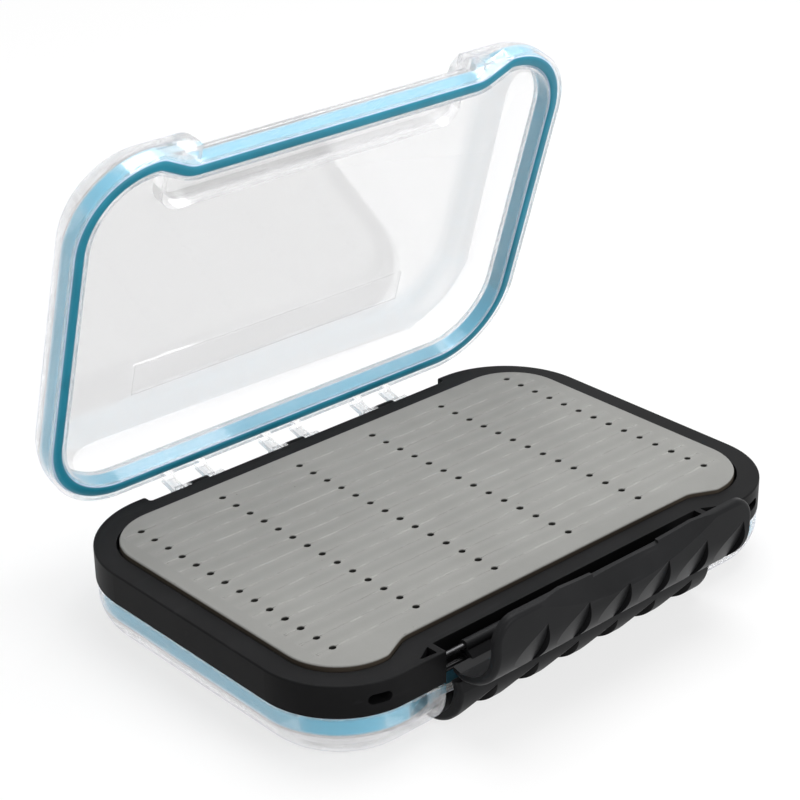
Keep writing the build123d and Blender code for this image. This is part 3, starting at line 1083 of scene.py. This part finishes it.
    def _place(
        self, bm: bmesh.types.BMesh, low: Sequence[float], high: Sequence[float]
    ) -> bpy.types.Object:
        """Turns the mesh to its side of the box and links it.

        Args:
            bm: the finished mesh, which is freed.
            low: lowest corner of the CAD piece's box.
            high: its highest corner.

        Returns:
            The new object.
        """
        if self.side is Side.UPPER:
            place = Matrix.Translation((0, 0, low[2]))
        else:
            place = Matrix.Translation((0, 0, high[2])) @ Matrix.Rotation(math.pi, 4, "Y")
        bm.transform(place)
        mesh = bpy.data.meshes.new(self.node + "_sheet")
        bm.to_mesh(mesh)
        bm.free()
        piece = bpy.data.objects.new(self.node + "_sheet", mesh)
        bpy.context.scene.collection.objects.link(piece)
        return piece

    def dress(self, piece: bpy.types.Object, material: bpy.types.Material) -> None:
        """Gives the pad its finish, joins it to the frame's body and hides the CAD pad.

        Args:
            piece: the pad's object.
            material: the foam.
        """
        piece.data.materials.append(material)
        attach(piece, "frame")
        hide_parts(self.node)


# Sub-assemblies


@dataclass
class MiddleFrame:
    """Centre frame with its pads, adhesive sheets and pins."""

    pads: list[FoamPad] = field(default_factory=lambda: [FoamPad(side) for side in Side])
    shell: MouldedPlastic = MouldedPlastic(
        "charcoal_frame_plastic", colour=(0.0080, 0.0080, 0.0084), roughness=0.44, specular=0.045
    )

    def build(self) -> list[bpy.types.Object]:
        """Builds the foam pads.

        Returns:
            Their objects.
        """
        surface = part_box("upper_foam_pad")[1][2] - MIDDLE - self.pads[0].lip
        foam = FoamSkin("grey_slit_foam", surface).material()
        made = []
        for pad in self.pads:
            piece = pad.build()
            pad.dress(piece, foam)
            made.append(piece)
        return made

    def dress(self) -> None:
        """Finishes of the rigid pieces and the adhesive sheets."""
        dress("centre_frame", self.shell.material())
        tape = Adhesive("adhesive_sheet").material()
        steel = BlackenedSteel("blackened_steel").material()
        for side in Side:
            dress(f"{side.value}_foam_adhesive", tape)
            dress(f"{side.value}_latch_pin", steel)
        for station in ("left", "centre", "right"):
            dress(f"hinge_pin_{station}", steel)


@dataclass
class LidSet:
    """Both clear lids with their gaskets."""

    tilt: float = LID_OPEN
    hinge: Point3 = (0.0, HINGE_BACK, MIDDLE)

    def dress(self) -> None:
        """Finishes of lids and gaskets."""
        clear = ClearPlastic("clear_lid_plastic").material()
        outward = {
            Side.UPPER: (0.0, math.sin(self.tilt), math.cos(self.tilt)),
            Side.LOWER: (0.0, 0.0, -1.0),
        }
        for side, out in outward.items():
            dress(f"{side.value}_lid", clear)
            rubber = Silicone(f"{side.value}_gasket_silicone", self.hinge, out)
            dress(f"{side.value}_gasket", rubber.material())


@dataclass
class LatchPair:
    """Both ribbed latches."""

    shell: MouldedPlastic = MouldedPlastic(
        "charcoal_latch_plastic", colour=(0.0120, 0.0122, 0.0130), roughness=0.40, specular=0.07, scuff=0.5
    )

    def dress(self) -> None:
        """Finish of the latches."""
        material = self.shell.material()
        for side in Side:
            dress(f"{side.value}_latch", material)


# Studio


@dataclass(frozen=True)
class SoftBox:
    """Square lamp that faces the box, with its place and side in metres."""

    name: str
    place: Point3
    side: float
    watts: float

    def hang(self, target: Sequence[float]) -> None:
        """Adds the lamp.

        Args:
            target: the place that it faces.
        """
        data = bpy.data.lights.new(self.name, "AREA")
        data.shape = "SQUARE"
        data.size = self.side
        data.energy = self.watts
        lamp = bpy.data.objects.new(self.name, data)
        aim = Vector(target) - Vector(self.place)
        lamp.rotation_euler = aim.to_track_quat("-Z", "Y").to_euler()
        lamp.location = self.place
        bpy.context.scene.collection.objects.link(lamp)


@dataclass
class Studio:
    """Floor, lamps, white surround and the camera at the photograph's angle."""

    eye: Point3 = (-0.3741, -0.4044, 0.3272)
    right: Point3 = (0.7402, -0.6722, -0.0124)
    up: Point3 = (0.3022, 0.3161, 0.8992)
    back: Point3 = (-0.6006, -0.6694, 0.4371)
    focal_pixels: float = 2123.0
    frame_pixels: float = 800.0
    sensor: float = 36.0
    nearest: float = 0.01
    farthest: float = 20.0
    floor_half: float = 4.0
    fill: float = 0.34
    target: Point3 = (0.0, 0.0, 0.03)
    lamps: tuple[SoftBox, ...] = (
        SoftBox("top_soft_box", (0.25, 0.10, 0.95), side=0.8, watts=10.0),
        SoftBox("front_soft_box", (0.15, -0.95, 0.45), side=0.6, watts=5.0),
        SoftBox("left_soft_box", (-0.85, -0.10, 0.60), side=0.4, watts=1.2),
    )

    def camera(self) -> bpy.types.Object:
        """Makes the camera.

        Returns:
            The camera's object.
        """
        data = bpy.data.cameras.new("view")
        data.sensor_width = self.sensor
        data.lens = self.sensor * self.focal_pixels / self.frame_pixels
        data.clip_start = self.nearest
        data.clip_end = self.farthest
        eye = bpy.data.objects.new("view", data)
        turn = Matrix((self.right, self.up, self.back)).transposed().to_4x4()
        eye.matrix_world = Matrix.Translation(self.eye) @ turn
        bpy.context.scene.collection.objects.link(eye)
        bpy.context.scene.camera = eye
        return eye

    def floor(self) -> None:
        """Makes the floor."""
        half = self.floor_half
        corners = [(-half, -half, 0), (half, -half, 0), (half, half, 0), (-half, half, 0)]
        mesh = bpy.data.meshes.new("floor")
        mesh.from_pydata(corners, [], [(0, 1, 2, 3)])
        mesh.materials.append(PaleFloor("pale_floor").material())
        ground = bpy.data.objects.new("floor", mesh)
        bpy.context.scene.collection.objects.link(ground)

    def surround(self) -> None:
        """White where it is seen, also in reflections, and soft grey as a light."""
        world = bpy.data.worlds.new("surround")
        bpy.context.scene.world = world
        book = Book(world)
        soft, white = (
            book.node("ShaderNodeBackground", inputs={"Color": rgb(WHITE), "Strength": level})
            for level in (self.fill, 1.0)
        )
        book.finish(book.blend(book.ray(*WHITE_RAYS), soft, white))

    def build(self) -> None:
        """Sets up the whole studio."""
        self.camera()
        self.floor()
        self.surround()
        for lamp in self.lamps:
            lamp.hang(self.target)
        settings = bpy.context.scene.view_settings
        settings.view_transform = "Standard"


def main() -> None:
    """Builds and dresses the box and its studio."""
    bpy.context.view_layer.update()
    Studio().build()
    middle = MiddleFrame()
    for piece in middle.build():
        log.info("built %s", piece.name)
    for assembly in (middle, LidSet(), LatchPair()):
        assembly.dress()
        log.info("dressed %s", type(assembly).__name__)
    bpy.context.view_layer.update()


if __name__ == "__main__":
    logging.basicConfig(level=logging.INFO)
    main()
